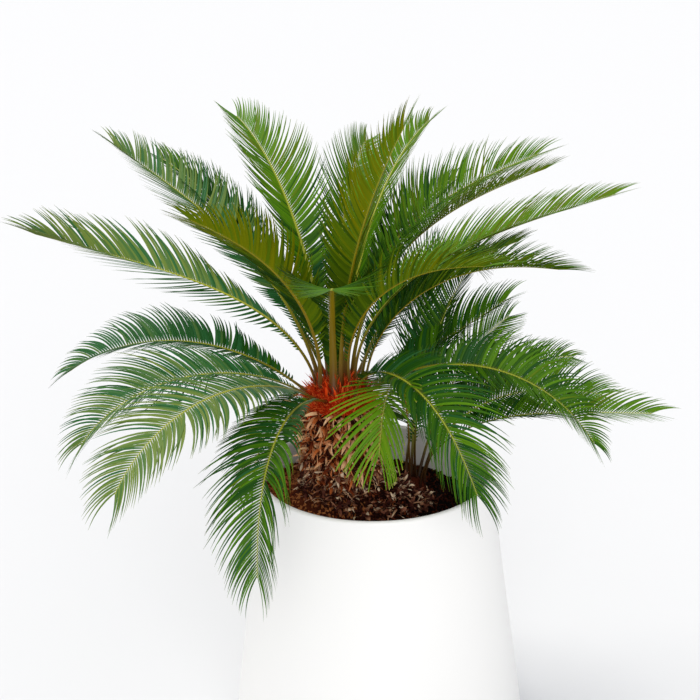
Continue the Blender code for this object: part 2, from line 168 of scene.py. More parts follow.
def makeSweepTree():
    tree, given = startTree("sweepStrand", (("Profile", "NodeSocketObject"),
                                            ("Upper Side", "NodeSocketMaterial"),
                                            ("Lower Side", "NodeSocketMaterial")))
    over = addNode(tree, "GeometryNodeInputNamedAttribute", {"Name": "over"}, data_type="FLOAT_VECTOR")
    breadth = addNode(tree, "GeometryNodeInputNamedAttribute", {"Name": "breadth"}, data_type="FLOAT")
    path = addNode(tree, "GeometryNodeMeshToCurve", {"Mesh": given.outputs["Geometry"]})
    turned = addNode(tree, "GeometryNodeSetCurveNormal",
                     {"Curve": path.outputs["Curve"], "Normal": over.outputs["Attribute"]}, mode="FREE")
    section = addNode(tree, "GeometryNodeObjectInfo", {"Object": given.outputs["Profile"]})
    swept = addNode(tree, "GeometryNodeCurveToMesh",
                    {"Curve": turned.outputs["Curve"], "Profile Curve": section.outputs["Geometry"],
                     "Scale": breadth.outputs["Attribute"], "Fill Caps": True})
    real = addNode(tree, "GeometryNodeRealizeInstances", {"Geometry": swept.outputs["Mesh"]})
    normal = addNode(tree, "GeometryNodeInputNormal")
    facing = addNode(tree, "ShaderNodeVectorMath",
                     {0: normal.outputs["Normal"], 1: over.outputs["Attribute"]}, operation="DOT_PRODUCT")
    isUnder = addNode(tree, "FunctionNodeCompare", {"A": facing.outputs["Value"], "B": 0.0},
                      data_type="FLOAT", operation="LESS_THAN")
    upper = addNode(tree, "GeometryNodeSetMaterial",
                    {"Geometry": real.outputs["Geometry"], "Material": given.outputs["Upper Side"]})
    lower = addNode(tree, "GeometryNodeSetMaterial",
                    {"Geometry": upper.outputs["Geometry"], "Selection": isUnder.outputs["Result"],
                     "Material": given.outputs["Lower Side"]})
    addNode(tree, "NodeGroupOutput", {"Geometry": lower.outputs["Geometry"]})
    return tree


sweepTree = makeSweepTree()


def setInput(modifier, name, value):
    for item in modifier.node_group.interface.items_tree:
        if item.name == name and item.in_out == "INPUT":
            modifier[item.identifier] = value


def strand(points, overs, breadths, tint=0.5):
    return {"points": points, "overs": overs, "breadths": breadths, "tint": tint}


def growStrands(name, strands, profile, upper, lower):
    points = []
    edges = []
    overs = []
    breadths = []
    alongs = []
    tints = []
    for item in strands:
        first = len(points)
        count = len(item["points"])
        points += item["points"]
        edges += [(first + i, first + i + 1) for i in range(count - 1)]
        for vector in item["overs"]:
            overs += vector[:]
        breadths += item["breadths"]
        alongs += [i / (count - 1) for i in range(count)]
        tints += [item["tint"]] * count
    mesh = bpy.data.meshes.new(name)
    mesh.from_pydata(points, edges, [])
    for label, kind, field, values in (("over", "FLOAT_VECTOR", "vector", overs),
                                       ("breadth", "FLOAT", "value", breadths),
                                       ("along", "FLOAT", "value", alongs),
                                       ("tint", "FLOAT", "value", tints)):
        mesh.attributes.new(label, kind, "POINT").data.foreach_set(field, values)
    item = addObject(name + "Path", mesh)
    modifier = item.modifiers.new("Sweep", "NODES")
    modifier.node_group = sweepTree
    setInput(modifier, "Profile", profile)
    setInput(modifier, "Upper Side", upper)
    setInput(modifier, "Lower Side", lower)
    piece = toPlainMesh(item, name)
    for label in ("over", "breadth"):
        piece.data.attributes.remove(piece.data.attributes[label])
    return piece


# Ribs: each frond follows the rule of the solids

crown = {
    "centre": Vector((-0.073, 0.0, 0.770)),  # the ribs stand round this point
    "dome": (Vector((-0.071, 0.0, 0.7453)), 0.064, 0.044),  # foot, radius, height
    "ribScale": 1.0,
}
shoot = {
    "centre": Vector((0.079, 0.033, 0.547)),
    "dome": (Vector((0.079, 0.033, 0.5323)), 0.025, 0.034),
    "ribScale": 0.68,
}

# Habits of the groups of fronds, angles in degrees
usualHabit = {
    "plant": crown,
    "bare": 0.23,  # share of the rib below the full leaflets
    "leaflet": 0.120,  # the longest leaflet
    "first": 0.25,  # length of the lowest leaflets against the longest
    "full": 0.35,  # share of the blade where they reach their full length
    "vee": 32,  # V of the blade: how far each row stands up from flat
    "angles": (56, 24),  # between leaflets and rib, at the foot of the blade and at its tip
    "spread": 10,  # a leaflet starts this much wider than its angle
    "curl": 14,  # and ends this much narrower
    "sag": 0.0,  # how far it hangs towards its tip
    "pitchScale": 1.0,
    "widthScale": 1.0,
    "tip": 0.05,  # width of a leaflet's tip against its middle
    "rib": 1.0,  # width of the rib against ribForm
}
ownHabits = {
    "heart": {"bare": 0.25, "angles": (56, 26), "rib": 0.92},
    "middle": {"leaflet": 0.125, "spread": 5, "curl": 12, "sag": 0.05, "rib": 0.8},
    "outer": {"bare": 0.15, "first": 0.20, "full": 0.42, "angles": (66, 34), "spread": 12, "curl": 18,
              "sag": 0.15, "rib": 0.66},
    "facing": {"bare": 0.10, "leaflet": 0.125, "first": 0.15, "full": 0.36, "angles": (72, 36),
               "spread": 18, "curl": 40, "pitchScale": 0.9, "widthScale": 1.15},
    "shoot": {"plant": shoot, "bare": 0.34, "leaflet": 0.100, "first": 0.35, "full": 0.28,
              "sag": 0.10, "pitchScale": 0.96, "widthScale": 0.95, "rib": 0.85},
    "nodding": {"plant": shoot, "bare": 0.62, "leaflet": 0.115, "first": 0.55, "full": 0.20, "vee": 24,
                "angles": (46, 30), "spread": 6, "curl": 6, "sag": 0.10, "pitchScale": 1.45,
                "widthScale": 1.3, "tip": 0.40, "rib": 0.55},
}
habits = {group: {**usualHabit, **own} for group, own in ownHabits.items()}

# name, group, seat, ring, bearing, turn, rise, end, early, late, length, roll, twist, lean, leaf
# Angles in degrees. Bearings turn from 0 at the right through 90 at the back.
fronds = (
    ("frond_left_long", "middle", 172, 0.038, 168, 6, 81, 15, 3.70, 1.0, 0.663, 3, 14, 4, 1.18),
    ("frond_left_high", "middle", 146, 0.038, 137, 4, 74, 21, 2.57, 1.0, 0.730, 8, -8, 7, 1.06),
    ("frond_left_front_high", "middle", 205, 0.038, 208, 6, 97, 31, 1.60, 1.0, 0.500, -32, 0, 0, 1.06),
    ("frond_left_arched", "outer", 184, 0.056, 169, 5, 41, -37, 0.91, 1.0, 0.519, 10, 2, 3, 0.98),
    ("frond_left_drooping", "outer", 205, 0.056, 204, -2, 39, -57, 0.74, 1.0, 0.506, 8, 4, -4, 1.12),
    ("frond_left_front_drooping", "outer", 226, 0.056, 228, 5, 36, -54, 0.67, 1.0, 0.573, 9, 0, 0, 1.22),
    ("frond_front_hanging", "outer", 246, 0.056, 241, 23, 30, -82, 1.05, 1.0, 0.488, -2, -13, -6, 1.26),
    ("frond_top_left", "heart", 130, 0.020, 115, 4, 78, 13, 0.82, 1.0, 0.657, -2, 5, 6, 1.09),
    ("frond_top_middle", "heart", 90, 0.020, 87, -11, 75, 6, 0.96, 1.0, 0.637, -8, -24, 6, 0.98),
    ("frond_top_right", "heart", 50, 0.020, 70, -9, 78, 12, 1.07, 1.0, 0.674, 22, -18, -5, 1.04),
    ("frond_top_front", "heart", -68, 0.020, -43, 5, 89, 59, 1.12, 1.0, 0.576, 19, -21, -6, 1.12),
    ("frond_facing_front", "facing", 262, 0.038, 272, -2, 104, 17, 8.2, 2.0, 0.586, 0, 0, 0, 1.10),
    ("frond_right_highest", "middle", 65, 0.038, 62, -32, 89, 11, 2.80, 1.0, 0.756, -4, -8, 1, 1.22),
    ("frond_right_high", "middle", 38, 0.038, 55, -31, 88, 12, 2.45, 1.0, 0.688, 2, 28, 9, 0.95),
    ("frond_right_long", "middle", 8, 0.038, 19, -18, 95, 16, 3.13, 1.0, 0.683, 0, -14, -5, 0.94),
    ("frond_right_back", "middle", 28, 0.056, 39, -6, 94, 8, 2.93, 1.0, 0.501, 8, 27, 4, 0.94),
    ("frond_right_front", "middle", -35, 0.038, -25, 3, 104, 6, 1.44, 1.0, 0.453, 0, 20, 7, 1.14),
    ("frond_right_middle", "middle", 0, 0.056, 5, -8, 91, -7, 1.43, 1.0, 0.507, -5, 19, 12, 1.12),
    ("frond_right_drooping", "outer", -16, 0.056, -4, -8, 39, -59, 1.05, 1.0, 0.517, -29, 1, 10, 0.89),
    ("frond_right_front_drooping", "outer", -52, 0.056, -50, 1, 93, -61, 1.49, 0.73, 0.446,
     -4, -22, -5, 1.28),
    ("frond_right_short", "outer", 14, 0.056, 7, 2, 28, 32, 1.21, 1.0, 0.326, -1, -12, -3, 0.94),
    ("shoot_frond_nodding", "nodding", 240, 0.018, 244, 13, 88, -68, 2.62, 3.3, 0.478, -12, 0, 0, 1.20),
    ("shoot_frond_upright", "shoot", 112, 0.016, 72, 3, 81, 54, 0.80, 1.0, 0.405, -23, -18, -4, 1.26),
    ("shoot_frond_tall", "shoot", 22, 0.004, 36, -16, 94, 52, 1.03, 1.0, 0.500, 6, -23, 6, 1.19),
    ("shoot_frond_arched", "shoot", 68, 0.018, 50, -2, 70, 9, 0.95, 1.0, 0.439, -24, -23, -3, 1.06),
    ("shoot_frond_right", "shoot", -12, 0.018, 14, -5, 85, -14, 1.66, 1.0, 0.475, -36, -18, 12, 1.04),
    ("shoot_frond_right_back", "shoot", 28, 0.018, 32, -8, 78, -9, 1.28, 1.0, 0.468, -40, -13, 1, 0.83),
    ("shoot_frond_right_long", "shoot", -52, 0.018, -11, 0, 87, 2, 3.09, 1.0, 0.539, -3, -22, 2, 1.09),
    ("shoot_frond_back", "shoot", 170, 0.019, 80, -1, 62, -53, 1.79, 1.0, 0.505, -6, -14, 3, 1.09),
    ("frond_back_left_high", "middle", 112, 0.038, 132, 3, 55, 14, 0.82, 1.0, 0.653, -10, 26, -6, 0.96),
    ("frond_back_right_high", "middle", 88, 0.038, 58, -1, 58, 0, 0.79, 1.0, 0.606, 1, -2, 3, 1.07),
    ("frond_back_left", "outer", 136, 0.056, 130, 2, -24, -80, 1.10, 1.0, 0.420, 0, 0, 4, 0.95),
    ("frond_back_middle_left", "outer", 108, 0.056, 106, 4, -34, -65, 1.36, 1.0, 0.552, 2, -5, 3, 1.15),
    ("frond_back_middle_right", "outer", 78, 0.056, 76, -3, -8, -71, 1.21, 1.0, 0.539, 0, -9, -4, 1.08),
    ("frond_back_right", "outer", 52, 0.056, 59, -2, 44, -54, 0.51, 1.0, 0.568, -6, -22, 3, 1.10),
)
frondFields = ("name", "group", "seat", "ring", "bearing", "turn", "rise", "end",
               "early", "late", "length", "roll", "twist", "lean", "leaf")

# Tone of each frond: 0 olive, a quarter fresh green, half deep green, three quarters blue-green,
# 1 pale sage, which paints the sheen of glossy fronds
tones = {
    "frond_left_long": 0.96, "frond_left_high": 0.88, "frond_left_front_high": 0.08,
    "frond_left_arched": 0.78, "frond_left_drooping": 0.86, "frond_left_front_drooping": 0.95,
    "frond_front_hanging": 0.43, "frond_top_left": 0.22, "frond_top_middle": 0.26,
    "frond_top_right": 0.16, "frond_top_front": 0.14, "frond_facing_front": 0.38,
    "frond_right_highest": 0.17, "frond_right_high": 0.24, "frond_right_long": 0.13,
    "frond_right_front": 0.20, "frond_right_middle": 0.36, "frond_right_back": 0.40,
    "frond_right_drooping": 0.35, "frond_right_front_drooping": 0.46, "frond_right_short": 0.45,
    "shoot_frond_upright": 0.50, "shoot_frond_tall": 0.46, "shoot_frond_arched": 0.36,
    "shoot_frond_right": 0.33, "shoot_frond_right_back": 0.36, "shoot_frond_right_long": 0.26,
    "shoot_frond_nodding": 0.5,
}
backTone = 0.52  # of the fronds at the back, which the table leaves out

stout = {"frond_facing_front": 1.4}  # fronds with a broader rib
broad = {  # and fronds with broader or narrower leaflets
    "frond_left_long": 1.18, "frond_left_high": 1.15, "frond_left_front_high": 1.25,
    "frond_left_arched": 1.2, "frond_left_drooping": 1.12, "frond_left_front_drooping": 1.2,
    "frond_front_hanging": 1.06, "frond_top_left": 1.15, "frond_top_middle": 1.25,
    "frond_right_highest": 0.85, "frond_right_high": 0.92, "frond_right_long": 0.84,
    "frond_right_back": 1.15, "frond_right_middle": 1.10, "frond_right_drooping": 1.2,
    "frond_right_front_drooping": 1.12, "frond_right_short": 1.2, "shoot_frond_right": 1.12,
    "shoot_frond_right_back": 1.05, "shoot_frond_right_long": 0.9,
}

# Rows of single fronds: 1 is the row on the left, seen along the rib from its foot, and -1 the other
paintedShadeRows = {"frond_left_long": 1, "frond_left_front_high": -1}  # painted shade: deep green near the foot
sparseSide = {"frond_left_long": 1}  # has lost every second leaflet of its lower half
fullSide = {"frond_top_left": 1}  # its broad leaflets nearly close up

vees = {  # V of the blade at its foot and at its tip, where a frond leaves its habit
    "frond_left_long": (-12, 58), "frond_left_high": (6, 44), "frond_left_front_high": (22, 22),
    "frond_left_arched": (24, 28), "frond_left_drooping": (26, 26),
    "frond_left_front_drooping": (6, 14), "frond_facing_front": (50, -24),
}

ribForm = {
    "samples": 160,
    "stations": 44,  # rings of the swept rib
    "crowding": 1.15,  # over 1 sets them closer together near the foot
    "footWidth": 0.0125,
    "tipWidth": 0.0022,
    "taper": 1.7,  # over 1 thins the rib soon after the petiole
    "footSwell": 0.55,  # how much wider the petiole is where it clasps the stem
    "swellShare": 0.07,
    "sunk": 0.012,  # how far the foot reaches into the stem
    "sunkWidth": 0.8,
}


def ribDirections(rib, s):
    share = max(0.0, 1.0 - s ** rib["late"]) ** rib["early"]
    slope = math.radians(between(rib["end"], rib["rise"], share))
    bearing = math.radians(rib["bearing"] + rib["turn"] * s)
    ahead = Vector((math.cos(slope) * math.cos(bearing), math.cos(slope) * math.sin(bearing),
                    math.sin(slope)))
    over = Vector((-math.sin(slope) * math.cos(bearing), -math.sin(slope) * math.sin(bearing),
                   math.cos(slope)))
    left = over.cross(ahead)
    roll = math.radians(rib["roll"] + rib["twist"] * s)
    return (ahead, left * math.cos(roll) - over * math.sin(roll),
            over * math.cos(roll) + left * math.sin(roll))


def distanceToDome(start, ahead, dome):
    # how far along its own direction the petiole leaves the dome of the stem
    foot, radius, height = dome
    size = Vector((1 / radius, 1 / radius, 1 / height))
    a = (start - foot) * size
    b = ahead * size
    half = a.dot(b)
    room = half * half - b.dot(b) * (a.dot(a) - 1.0)
    return (-half + math.sqrt(max(0.0, room))) / b.dot(b)


def traceRib(row):
    rib = dict(zip(frondFields, row))
    rib["habit"] = habits[rib["group"]]
    rib["tone"] = tones.get(rib["name"], backTone)
    rib["vees"] = vees.get(rib["name"], (rib["habit"]["vee"], rib["habit"]["vee"]))
    plant = rib["habit"]["plant"]
    start = plant["centre"] + ringOut(math.radians(rib["seat"])) * rib["ring"]
    ahead = ribDirections(rib, 0.0)[0]
    shift = distanceToDome(start, ahead, plant["dome"])
    rib["length"] -= shift
    rib["points"] = [start + ahead * shift]
    for i in range(ribForm["samples"]):
        step = ribDirections(rib, (i + 0.5) / ribForm["samples"])[0]
        rib["points"].append(rib["points"][-1] + step * (rib["length"] / ribForm["samples"]))
    return rib


def ribPoint(rib, s):
    place = min(max(s, 0.0), 1.0) * ribForm["samples"]
    low = min(int(place), ribForm["samples"] - 1)
    return rib["points"][low].lerp(rib["points"][low + 1], place - low)


def ribHalfWidth(rib, s):
    scale = rib["habit"]["plant"]["ribScale"]
    wide = stout.get(rib["name"], 1.0) * rib["habit"]["rib"]
    return 0.5 * scale * wide * between(ribForm["tipWidth"], ribForm["footWidth"],
                                        (1.0 - s) ** ribForm["taper"])


def ribStrand(rib):
    points = []
    overs = []
    breadths = []
    for i in range(ribForm["stations"] + 1):
        s = (i / ribForm["stations"]) ** ribForm["crowding"]
        ahead, left, over = ribDirections(rib, s)
        swell = 1.0 + ribForm["footSwell"] * max(0.0, 1.0 - s / ribForm["swellShare"]) ** 2
        points.append(ribPoint(rib, s))
        overs.append(over)
        breadths.append(ribHalfWidth(rib, s) * swell)
    ahead, left, over = ribDirections(rib, 0.0)
    points.insert(0, points[0] - ahead * ribForm["sunk"])
    overs.insert(0, over)
    breadths.insert(0, breadths[0] * ribForm["sunkWidth"])
    return strand(points, overs, breadths)


# Leaflets

leafletForm = {
    "pitch": 0.0054,
    "stagger": 0.25,  # each row is moved by this share of the pitch, one forwards and one back
    "steps": 7,
    "seat": 0.7,  # where leaflets grow, in half widths of the rib from its middle
    "halfWidth": 0.0026,
    "fullWidth": 1.45,  # width in a full row against the other rows
    "narrow": 0.54,  # width of the last leaflets against the first
    "narrowing": 1.5,  # over 1 keeps them broad for longer
    "root": 0.72,  # width of a leaflet's foot against its middle
    "rootShare": 0.14,
    "taperFrom": 0.30,
    "taper": 1.25,
    "last": 0.52,  # length of the last leaflets, as a share of the longest
    "shortening": 0.46,  # share of the blade over which they get shorter
    "angleEnd": 17.0,  # the last pairs point almost straight on
    "turnFrom": 0.88,  # and those from here on turn that way
    "sparseTo": 0.55,  # the lower half of a sparse row ends here
    "veeTurn": 2.5,  # degrees by which single leaflets leave the V
    "twist": 9,  # degrees by which they turn about themselves, up to the tip
    "sags": (0.75, 1.3),  # these three vary what the habit gives
    "curls": (0.8, 1.2),
    "lengths": (0.95, 1.05),
}
spineForm = {  # short spiny leaflets on the upper part of the petiole
    "from": 0.55,  # share of the bare petiole
    "length": 0.010,
    "growth": 1.6,  # over 1 keeps them short for longer
    "pitchScale": 1.3,
    "widthScale": 0.75,
    "lengths": (0.8, 1.1),
    "turn": 8,
}
driftForm = {  # stretches of leaflets that lean together
    "sizes": (4, 12),  # leaflets in a stretch
    "lean": 3.0,  # degrees out of the rule, for the whole stretch
    "slope": 0.4,  # degrees from one leaflet to the next
    "jitter": 1.3,  # degrees for a single leaflet
    "stray": 0.03,  # share of leaflets that stick out
    "strayTurn": 14,
}
toneForm = {
    "fresh": 0.25,  # tones, as in the table
    "deep": 0.52,
    "paintedSheenFrom": 0.7,  # a frond from here on is pale sage, a painted sheen, and one below it green
    "ripen": 0.30,  # how far the last leaflets of a green frond go towards fresh green
    "paintedFootShade": 0.24,  # and the first ones towards deep green, a painted shade inside the crown
    "paintedFootShadeFade": 1.9,  # over 1 ends that before the tip
    "shaded": 0.20,  # how far the first leaflets of a sage frond go back towards deep green, a painted shade inside the crown
    "paintedShadeRowFade": 1.5,  # over 1 ends the painted shade of a shaded row before the tip
    "mottle": 0.10,  # how much the tones of neighbours differ
}


def leafletTone(rib, side, along):
    tone = rib["tone"]
    # sage fronds carry a painted sheen in their colour
    if tone < toneForm["paintedSheenFrom"]:
        tone = between(tone, toneForm["fresh"], toneForm["ripen"] * along * along)
        # painted shade: the first leaflets of a green frond go towards deep green
        foot = min(toneForm["deep"], tone + toneForm["paintedFootShade"])
        tone = between(foot, tone, min(1.0, along * toneForm["paintedFootShadeFade"]))
    else:
        # painted shade: the first leaflets of a sage frond go back towards deep green
        tone -= toneForm["shaded"] * (1.0 - along) ** 2
    # painted shade: a shaded row is deep green near the foot
    if side == paintedShadeRows.get(rib["name"]):
        tone = between(toneForm["deep"], tone, min(1.0, along * toneForm["paintedShadeRowFade"]) ** 2)
    return tone


def leafletShare(habit, along):
    low = between(habit["first"], 1.0, min(1.0, along / habit["full"]))
    high = between(leafletForm["last"], 1.0, min(1.0, (1.0 - along) / leafletForm["shortening"]))
    return low * high


def leafletTaper(habit, t):
    late = max(0.0, (t - leafletForm["taperFrom"]) / (1.0 - leafletForm["taperFrom"]))
    foot = between(leafletForm["root"], 1.0, min(1.0, t / leafletForm["rootShare"]))
    return between(1.0, habit["tip"], late ** leafletForm["taper"]) * foot


def leafletStrand(rib, s, side, length, lean, halfWidth, chance):
    habit = rib["habit"]
    ahead, left, over = ribDirections(rib, s)
    along = max(0.0, (s - habit["bare"]) / (1.0 - habit["bare"]))
    vee = math.radians(between(*rib["vees"], along) + offBy(chance, leafletForm["veeTurn"]))
    out = left * (side * math.cos(vee)) + over * math.sin(vee)
    face = over * math.cos(vee) - left * (side * math.sin(vee))
    twist = math.radians(offBy(chance, leafletForm["twist"]))
    point = ribPoint(rib, s) + left * (side * ribHalfWidth(rib, s) * leafletForm["seat"])
    sag = habit["sag"] * chance.uniform(*leafletForm["sags"])
    curl = habit["curl"] * chance.uniform(*leafletForm["curls"])
    steps = leafletForm["steps"]
    points = []
    overs = []
    breadths = []
    for i in range(steps + 1):
        t = i / steps
        angle = math.radians(lean + between(habit["spread"], -curl, t))
        direction = (ahead * math.cos(angle) + out * math.sin(angle) - up * (sag * 2.0 * t)).normalized()
        across = direction.cross(face).normalized()
        flat = across.cross(direction).normalized()
        points.append(point.copy())
        overs.append(flat * math.cos(twist * t) + across * math.sin(twist * t))
        breadths.append(halfWidth * leafletTaper(habit, t))
        point += direction * (length / steps)
    tone = leafletTone(rib, side, along) + chance.gauss(0, toneForm["mottle"])
    return strand(points, overs, breadths, tone)


def leafletDrifts(count, chance):
    # where one stretch ends and the next leans another way, a slight gap opens
    drifts = []
    while len(drifts) < count:
        size = chance.randint(*driftForm["sizes"])
        shift = chance.gauss(0, driftForm["lean"])
        slope = offBy(chance, driftForm["slope"])
        for i in range(size):
            single = chance.gauss(0, driftForm["jitter"])
            if chance.random() < driftForm["stray"]:
                single += offBy(chance, driftForm["strayTurn"])
            drifts.append(shift + slope * i + single)
    return drifts[:count]


def rowStrands(rib, side, count, halfWidth, chance):
    habit = rib["habit"]
    turnFrom = leafletForm["turnFrom"]
    drifts = leafletDrifts(count, chance)
    strands = []
    for i in range(count):
        along = (i + 0.5 + leafletForm["stagger"] * side) / count
        if side == sparseSide.get(rib["name"]) and i % 2 and along < leafletForm["sparseTo"]:
            continue
        s = between(habit["bare"], 1.0, along)
        lean = between(*habit["angles"], along) + rib["lean"]
        lean = between(lean, leafletForm["angleEnd"], max(0.0, (along - turnFrom) / (1.0 - turnFrom)))
        length = (habit["leaflet"] * rib["leaf"] * leafletShare(habit, along)
                  * chance.uniform(*leafletForm["lengths"]))
        width = halfWidth * between(1.0, leafletForm["narrow"], along ** leafletForm["narrowing"])
        if side == fullSide.get(rib["name"]):
            width *= leafletForm["fullWidth"]
        strands.append(leafletStrand(rib, s, side, length, lean + drifts[i], width, chance))
    return strands


def spineStrands(rib, side, halfWidth, chance):
    habit = rib["habit"]
    low = habit["bare"] * spineForm["from"]
    count = round(rib["length"] * (habit["bare"] - low) / (leafletForm["pitch"] * spineForm["pitchScale"]))
    strands = []
    for i in range(count):
        share = (i + 0.5) / count
        length = between(spineForm["length"], habit["leaflet"] * habit["first"],
                         share ** spineForm["growth"])
        strands.append(leafletStrand(rib, between(low, habit["bare"], share), side,
                                     length * chance.uniform(*spineForm["lengths"]),
                                     habit["angles"][0] + offBy(chance, spineForm["turn"]),
                                     halfWidth * spineForm["widthScale"], chance))
    return strands


def bladeStrands(rib):
    habit = rib["habit"]
    chance = random.Random(rib["name"])
    blade = rib["length"] * (1.0 - habit["bare"])
    count = round(blade / (leafletForm["pitch"] * habit["pitchScale"]))
    halfWidth = leafletForm["halfWidth"] * (habit["widthScale"] * broad.get(rib["name"], 1.0))
    strands = []
    for side in (1, -1):
        strands += rowStrands(rib, side, count, halfWidth, chance)
        strands += spineStrands(rib, side, halfWidth, chance)
    return strands


# Leaf materials: a waxy cuticle over green tissue, satin above, matt and yellower below.
# Each frond has its own tone, from olive through fresh and deep green to pale sage, which paints
# the sheen of glossy fronds, and the foot and the tip of each leaflet are drier.

def leafMaterial(name, greens, endColour, roughness, gloss):
    material, tree, shader = startMaterial(name)
    tint = addNode(tree, "ShaderNodeAttribute", attribute_name="tint")
    along = addNode(tree, "ShaderNodeAttribute", attribute_name="along")
    body = addNode(tree, "ShaderNodeValToRGB", {"Fac": tint.outputs["Fac"]},
                   stops=[(i / (len(greens) - 1), green) for i, green in enumerate(greens)])
    ends = addNode(tree, "ShaderNodeValToRGB", {"Fac": along.outputs["Fac"]},
                   stops=((0.0, "#a0a0a0"), (0.05, "#000000"), (0.93, "#000000"), (1.0, "#b0b0b0")))
    colour = addNode(tree, "ShaderNodeMix", {"Factor": ends.outputs["Color"], "A": body.outputs["Color"],
                                             "B": toLinear(endColour)}, data_type="RGBA")
    tree.links.new(colour.outputs["Result"], shader.inputs["Base Color"])
    shader.inputs["Roughness"].default_value = roughness
    shader.inputs["Specular IOR Level"].default_value = gloss
    return material


# the last green of each ramp, pale sage, is a painted sheen
leafUpper = leafMaterial("waxyLeafUpper", ("#5a6606", "#507e0a", "#174408", "#285e32", "#667a34"),
                         "#8a8430", 0.42, 0.10)
leafLower = leafMaterial("leafLower", ("#6e7002", "#546a08", "#1e3c06", "#2c4e1e", "#606e28"),
                         "#8d7a2c", 0.6, 0.04)
youngUpper = leafMaterial("youngLeafUpper", ("#3c6a06", "#5e8a0c", "#8ea428"), "#b8955a", 0.42, 0.10)
youngLower = leafMaterial("youngLeafLower", ("#4a6a08", "#708a10", "#96a024"), "#b8955a", 0.6, 0.05)
leafSides = {group: (leafUpper, leafLower) for group in habits}
leafSides["nodding"] = (youngUpper, youngLower)


def ribMaterial(name, footColour, petioleColour, ribColour, tipColour):
    # the rachis is hard and polished, and brown only where it leaves the stem
    material, tree, shader = startMaterial(name)
    along = addNode(tree, "ShaderNodeAttribute", attribute_name="along")
    ramp = addNode(tree, "ShaderNodeValToRGB", {"Fac": along.outputs["Fac"]},
                   stops=((0.03, footColour), (0.16, petioleColour), (0.45, ribColour), (1.0, tipColour)))
    tree.links.new(ramp.outputs["Color"], shader.inputs["Base Color"])
    shader.inputs["Roughness"].default_value = 0.35
    shader.inputs["Specular IOR Level"].default_value = 0.2
    return material


ribSides = (ribMaterial("rachisUpper", "#5a2810", "#726616", "#9ca02c", "#94a03a"),
            ribMaterial("rachisLower", "#5a240e", "#6c5610", "#8c760e", "#8c861c"))
shootSides = (ribMaterial("shootRachisUpper", "#2c140a", "#46300e", "#98a02c", "#a8b044"),
              ribMaterial("shootRachisLower", "#2c120a", "#442a0c", "#86681a", "#8a8030"))

leafletProfile = profileCurve("leafletProfile", ((0.26, 0.0), (-0.10, 1.0), (0.04, 0.0), (-0.10, -1.0)))
ribProfile = profileCurve("ribProfile", [
    ((0.62 if 60 < a < 300 else 0.50) * math.cos(math.radians(a)), math.sin(math.radians(a)))
    for a in range(0, 360, 36)])

ribs = [traceRib(row) for row in fronds]
for group in habits:
    groupRibs = [rib for rib in ribs if rib["group"] == group]
    nodes = [rib["name"] for rib in groupRibs]
    blades = [item for rib in groupRibs for item in bladeStrands(rib)]
    leaflets = growStrands("leaflets_" + group, blades, leafletProfile, *leafSides[group])
    finishPiece(leaflets, nodes)
    stalks = [ribStrand(rib) for rib in groupRibs]
    sides = shootSides if groupRibs[0]["habit"]["plant"] is shoot else ribSides
    finishPiece(growStrands("rachises_" + group, stalks, ribProfile, *sides), nodes)


# Stem, wool, soil and pot

dryForm = {
    "grain": 900.0,  # fibres of about 1 mm
    "grainDetail": 3.0,
    "contrast": 0.35,
    "offset": -0.17,  # takes back what the grain adds to the tone
    "bleach": 0.28,  # dry tips are paler
    "gloss": 0.06,
}


def dryMaterial(name, stops, roughness, paintedLeftLight=0.0):
    # dry plant matter, matt, each piece with its own tone, and, where the last argument is set, paler
    # towards the left: painted light from the left
    material, tree, shader = startMaterial(name)
    tint = addNode(tree, "ShaderNodeAttribute", attribute_name="tint")
    along = addNode(tree, "ShaderNodeAttribute", attribute_name="along")
    place = addNode(tree, "ShaderNodeTexCoord")
    grain = addNode(tree, "ShaderNodeTexNoise",
                    {"Vector": place.outputs["Object"], "Scale": dryForm["grain"],
                     "Detail": dryForm["grainDetail"]})
    mixed = addNode(tree, "ShaderNodeMath", {0: grain.outputs["Fac"], 1: dryForm["contrast"],
                                             2: dryForm["offset"]}, operation="MULTIPLY_ADD")
    paler = addNode(tree, "ShaderNodeMath", {0: along.outputs["Fac"], 1: dryForm["bleach"],
                                             2: tint.outputs["Fac"]}, operation="MULTIPLY_ADD")
    # painted light from the left: the tone rises towards negative X
    where = addNode(tree, "ShaderNodeSeparateXYZ", {"Vector": place.outputs["Object"]})
    aside = addNode(tree, "ShaderNodeMath", {0: where.outputs["X"], 1: -paintedLeftLight, 2: mixed.outputs["Value"]},
                    operation="MULTIPLY_ADD")
    tone = addNode(tree, "ShaderNodeMath", {0: paler.outputs["Value"], 1: aside.outputs["Value"]},
                   operation="ADD")
    ramp = addNode(tree, "ShaderNodeValToRGB", {"Fac": tone.outputs["Value"]}, stops=stops)
    tree.links.new(ramp.outputs["Color"], shader.inputs["Base Color"])
    shader.inputs["Roughness"].default_value = roughness
    shader.inputs["Specular IOR Level"].default_value = dryForm["gloss"]
    return material


# Torn leaf feet, nearly black where the core paints the shade in the gaps, and straw-coloured where they
# bleach
scaleStuff = dryMaterial("dryLeafBase", ((0.0, "#220a06"), (0.28, "#622610"), (0.58, "#ba6430"),
                                         (1.0, "#e8c094")), 0.75)
# Dense orange wool without any highlight
woolStuff = dryMaterial("crownWool", ((0.0, "#4a0a04"), (0.32, "#a82406"), (0.70, "#dc4612"),
                                      (1.0, "#ee8040")), 0.9)
# Fallen scales, most of them dark, and a few pale chips
litterStuff = dryMaterial("dryLitter", ((0.0, "#160806"), (0.36, "#46201a"), (0.70, "#865440"),
                                        (0.92, "#ba9070"), (1.0, "#e0c8ac")), 0.85)
